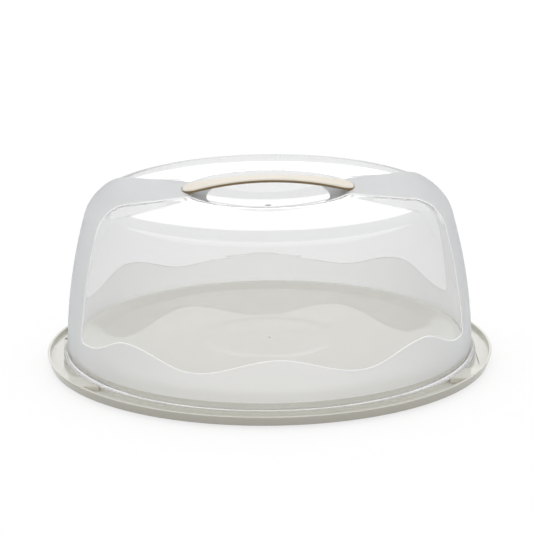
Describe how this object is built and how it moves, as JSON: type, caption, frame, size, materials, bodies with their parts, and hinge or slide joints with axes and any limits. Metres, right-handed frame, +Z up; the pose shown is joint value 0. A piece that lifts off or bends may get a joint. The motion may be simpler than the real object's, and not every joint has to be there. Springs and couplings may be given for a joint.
{
  "type": "cake carrier",
  "caption": "Round cake carrier: a flat serving tray, a clear dome lid that lifts straight off, and a bowed grip strap over a hand dish in the lid's top.",
  "frame": {"origin": "on the table, under the middle of the tray", "axes": "+Z up and out of the lid, +X along the grip strap, -Y towards the front"},
  "size_m": [0.35, 0.35, 0.1491],
  "materials": {
    "cream_polypropylene": "moulded cream polypropylene, smooth gloss",
    "clear_polypropylene": "clear moulded plastic, polished windows, fine frosted bands and skirt",
    "beige_polypropylene": "moulded beige polypropylene, satin"
  },
  "bodies": {
    "tray": {"tray": "cream_polypropylene"},
    "lid": {"dome": "clear_polypropylene", "grip_strap": "beige_polypropylene"}
  },
  "joints": [
    {"name": "lid_lift", "type": "slide", "parent": "tray", "child": "lid", "axis": [0, 0, 1], "range_m": [0, 0.15]}
  ]
}
